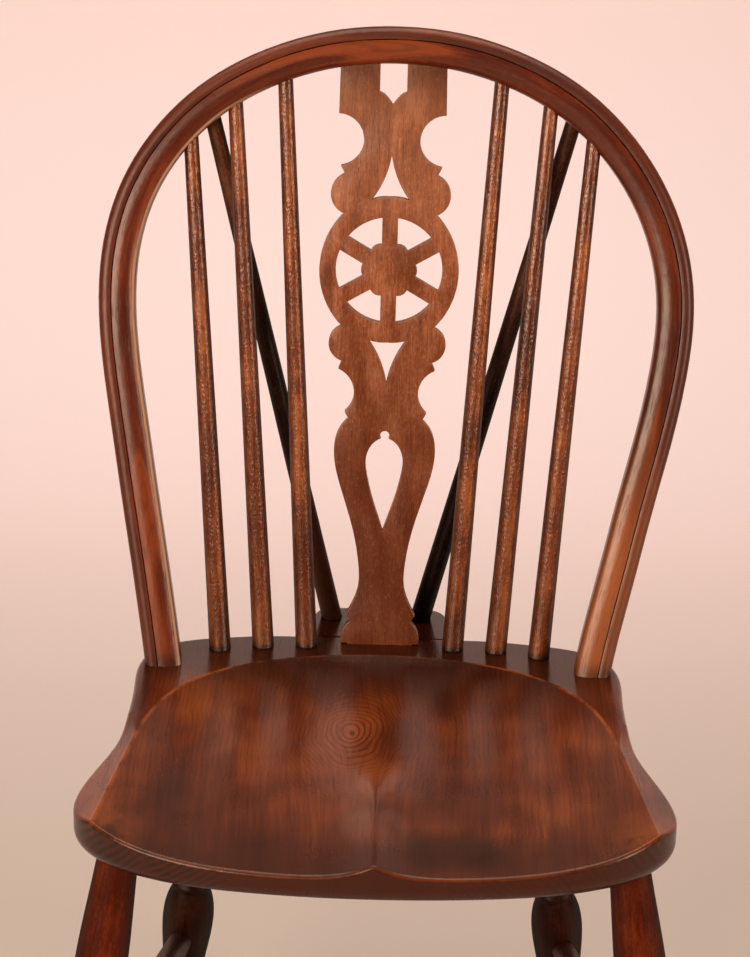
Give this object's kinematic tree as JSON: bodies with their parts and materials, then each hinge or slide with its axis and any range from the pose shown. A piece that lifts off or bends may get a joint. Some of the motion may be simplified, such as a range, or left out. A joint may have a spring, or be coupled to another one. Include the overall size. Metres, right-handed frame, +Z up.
{
  "type": "wheelback chair",
  "caption": "Wooden wheelback dining chair with a saddled seat, bent bow, pierced wheel splat, tapered spindles, braced back and turned splayed legs joined by stretchers.",
  "frame": {"origin": "on the floor, under the middle of the chair's bounding box", "axes": "+X to the sitter's left as they face -Y, +Y to the back of the chair, +Z up"},
  "size_m": [0.5094, 0.4517, 0.9259],
  "materials": {
    "seat_wood": "polished dark stain",
    "bow_wood": "polished dark stain",
    "splat_wood": "polished dark stain",
    "spindle_wood": "polished dark stain",
    "brace_wood": "polished dark stain",
    "leg_wood": "polished dark stain",
    "stretcher_wood": "polished dark stain",
    "wedge_wood": "polished dark stain"
  },
  "bodies": {
    "root": {"seat": "seat_wood", "bobtail_block": "seat_wood", "bow": "bow_wood", "splat": "splat_wood", "spindle_left_outer": "spindle_wood", "spindle_left_middle": "spindle_wood", "spindle_left_inner": "spindle_wood", "spindle_right_outer": "spindle_wood", "spindle_right_middle": "spindle_wood", "spindle_right_inner": "spindle_wood", "brace_left": "brace_wood", "brace_right": "brace_wood", "leg_front_left": "leg_wood", "leg_front_right": "leg_wood", "leg_rear_left": "leg_wood", "leg_rear_right": "leg_wood", "side_stretcher_left": "stretcher_wood", "side_stretcher_right": "stretcher_wood", "cross_stretcher": "stretcher_wood", "bow_wedge_left": "wedge_wood", "bow_wedge_right": "wedge_wood"}
  },
  "joints": []
}
